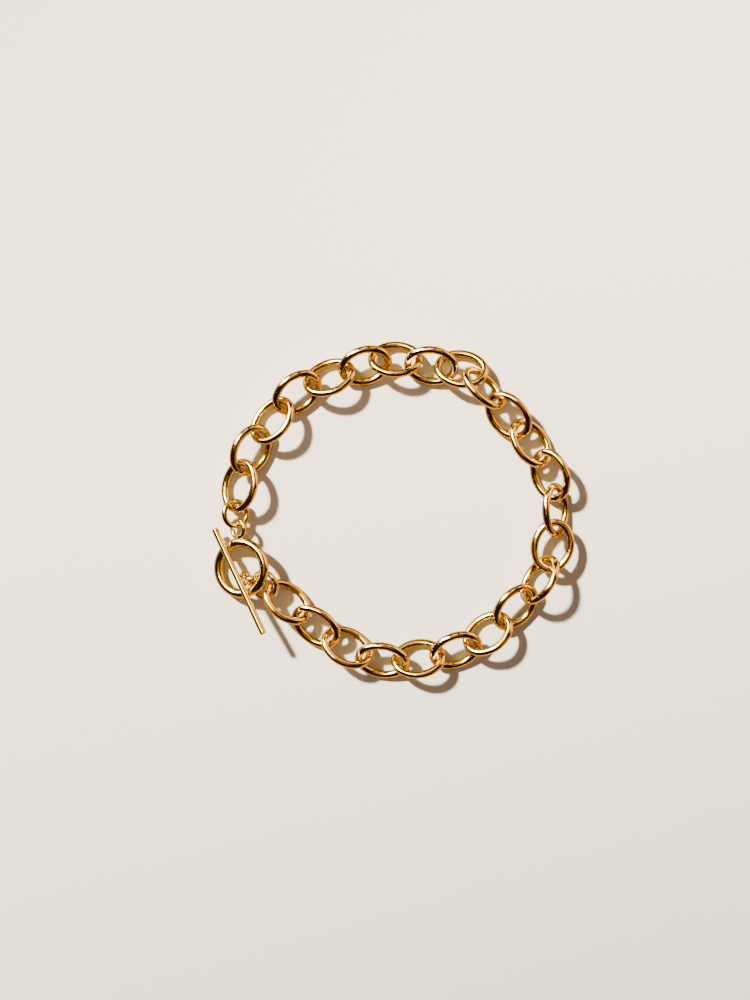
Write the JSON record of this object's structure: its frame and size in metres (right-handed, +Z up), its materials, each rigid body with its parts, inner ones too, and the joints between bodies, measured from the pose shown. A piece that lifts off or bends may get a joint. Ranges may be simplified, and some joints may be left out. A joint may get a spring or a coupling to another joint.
{
  "type": "link bracelet",
  "caption": "Cable chain bracelet of oval round-wire links, laid as a loop and joined by a toggle ring and bar on jump rings.",
  "frame": {"origin": "middle of the bracelet's outline, on the surface that it lies on", "axes": "+Z up off the surface, +Y towards the top of the picture, and the toggle clasp on the -X side"},
  "size_m": [0.0664, 0.0622, 0.0069],
  "materials": {
    "gold": "mirror-polished gold plating"
  },
  "bodies": {
    "root": {"toggle_ring": "gold", "toggle_bar": "gold", "top_jump_ring": "gold", "bar_jump_ring": "gold", "small_jump_ring": "gold", "link_01": "gold", "link_02": "gold", "link_03": "gold", "link_04": "gold", "link_05": "gold", "link_06": "gold", "link_07": "gold", "link_08": "gold", "link_09": "gold", "link_10": "gold", "link_11": "gold", "link_12": "gold", "link_13": "gold", "link_14": "gold", "link_15": "gold", "link_16": "gold", "link_17": "gold", "link_18": "gold", "link_19": "gold", "link_20": "gold", "link_21": "gold", "link_22": "gold", "link_23": "gold", "link_24": "gold"}
  },
  "joints": []
}
